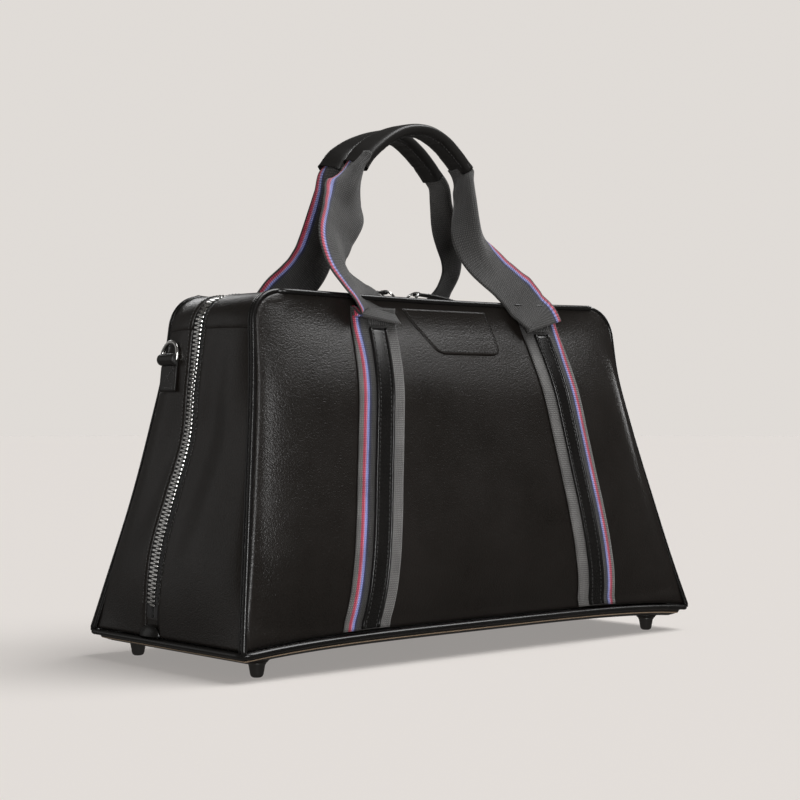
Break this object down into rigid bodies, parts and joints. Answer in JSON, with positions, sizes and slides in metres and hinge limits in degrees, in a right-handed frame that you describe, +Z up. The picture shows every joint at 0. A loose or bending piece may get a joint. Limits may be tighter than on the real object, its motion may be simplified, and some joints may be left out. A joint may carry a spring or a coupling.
{
  "type": "weekender bag",
  "caption": "Flared leather holdall that opens along a zip over its top and ends, with two webbing handles, end D-rings and metal feet.",
  "frame": {"origin": "centre of the four feet on the ground, under the middle of the bag", "axes": "+X along the bag to its right end, +Y from its front (the side with the patch) to its back, +Z up"},
  "size_m": [0.5456, 0.2486, 0.4805],
  "materials": {
    "black_leather": "fine-grain black leather with a soft sheen",
    "webbing": "ribbed dark grey webbing with a red and blue stripe near one edge",
    "lining": "plain woven lining",
    "polished_metal": "polished nickel",
    "zip_tape": "black woven tape with silver metal teeth",
    "base_board": "stiff fibreboard"
  },
  "bodies": {
    "base": {"base_panel": "black_leather", "base_board": "base_board", "base_lining": "lining", "base_piping": "black_leather", "foot_front_left": "polished_metal", "foot_front_right": "polished_metal", "foot_back_left": "polished_metal", "foot_back_right": "polished_metal", "washer_front_left": "polished_metal", "washer_front_right": "polished_metal", "washer_back_left": "polished_metal", "washer_back_right": "polished_metal", "left_gusset_foot": "black_leather", "right_gusset_foot": "black_leather", "left_zip_tab": "black_leather", "right_zip_tab": "black_leather"},
    "front_half": {"front_panel": "black_leather", "front_top_band": "black_leather", "front_left_gusset": "black_leather", "front_right_gusset": "black_leather", "front_piping": "black_leather", "front_zip_tape": "zip_tape", "front_lining": "lining", "front_patch": "black_leather", "front_left_strap": "webbing", "front_right_strap": "webbing", "front_left_overlay": "black_leather", "front_right_overlay": "black_leather"},
    "back_half": {"back_panel": "black_leather", "back_top_band": "black_leather", "back_left_gusset": "black_leather", "back_right_gusset": "black_leather", "back_piping": "black_leather", "back_zip_tape": "zip_tape", "back_lining": "lining", "inner_pocket": "lining", "back_left_strap": "webbing", "back_right_strap": "webbing", "back_left_overlay": "black_leather", "back_right_overlay": "black_leather", "left_ring_loop": "black_leather", "right_ring_loop": "black_leather"},
    "front_handle": {"front_handle_webbing": "webbing", "front_grip": "black_leather"},
    "back_handle": {"back_handle_webbing": "webbing", "back_grip": "black_leather"},
    "left_slider": {"left_slider": "polished_metal"},
    "right_slider": {"right_slider": "polished_metal"},
    "left_pull": {"left_pull_ring": "polished_metal", "left_pull_tab": "black_leather"},
    "right_pull": {"right_pull_ring": "polished_metal", "right_pull_tab": "black_leather"},
    "left_d_ring": {"left_d_ring": "polished_metal"},
    "right_d_ring": {"right_d_ring": "polished_metal"}
  },
  "joints": [
    {"name": "front_opens", "type": "hinge", "parent": "base", "child": "front_half", "pos_m": [0, -0.11, 0.024], "axis": [1, 0, 0], "range_deg": [0, 40]},
    {"name": "back_opens", "type": "hinge", "parent": "base", "child": "back_half", "pos_m": [0, 0.11, 0.024], "axis": [-1, 0, 0], "range_deg": [0, 40]},
    {"name": "front_handle_folds", "type": "hinge", "parent": "front_half", "child": "front_handle", "pos_m": [0, -0.073, 0.309], "axis": [1, 0, 0], "range_deg": [-4, 150]},
    {"name": "back_handle_folds", "type": "hinge", "parent": "back_half", "child": "back_handle", "pos_m": [0, 0.073, 0.309], "axis": [-1, 0, 0], "range_deg": [-4, 150]},
    {"name": "left_slider_runs", "type": "slide", "parent": "back_half", "child": "left_slider", "axis": [-1, 0, 0], "range_m": [0, 0.145]},
    {"name": "right_slider_runs", "type": "slide", "parent": "back_half", "child": "right_slider", "axis": [1, 0, 0], "range_m": [0, 0.145]},
    {"name": "left_pull_swings", "type": "hinge", "parent": "left_slider", "child": "left_pull", "pos_m": [-0.0095, 0.008, 0.3134], "axis": [0, 1, 0], "range_deg": [0, 75]},
    {"name": "right_pull_swings", "type": "hinge", "parent": "right_slider", "child": "right_pull", "pos_m": [0.0095, 0.008, 0.3134], "axis": [0, -1, 0], "range_deg": [0, 75]},
    {"name": "left_ring_swings", "type": "hinge", "parent": "back_half", "child": "left_d_ring", "pos_m": [-0.23156, 0.044, 0.256], "axis": [0, -1, 0], "range_deg": [0, 165]},
    {"name": "right_ring_swings", "type": "hinge", "parent": "back_half", "child": "right_d_ring", "pos_m": [0.23156, 0.044, 0.256], "axis": [0, 1, 0], "range_deg": [0, 165]}
  ]
}
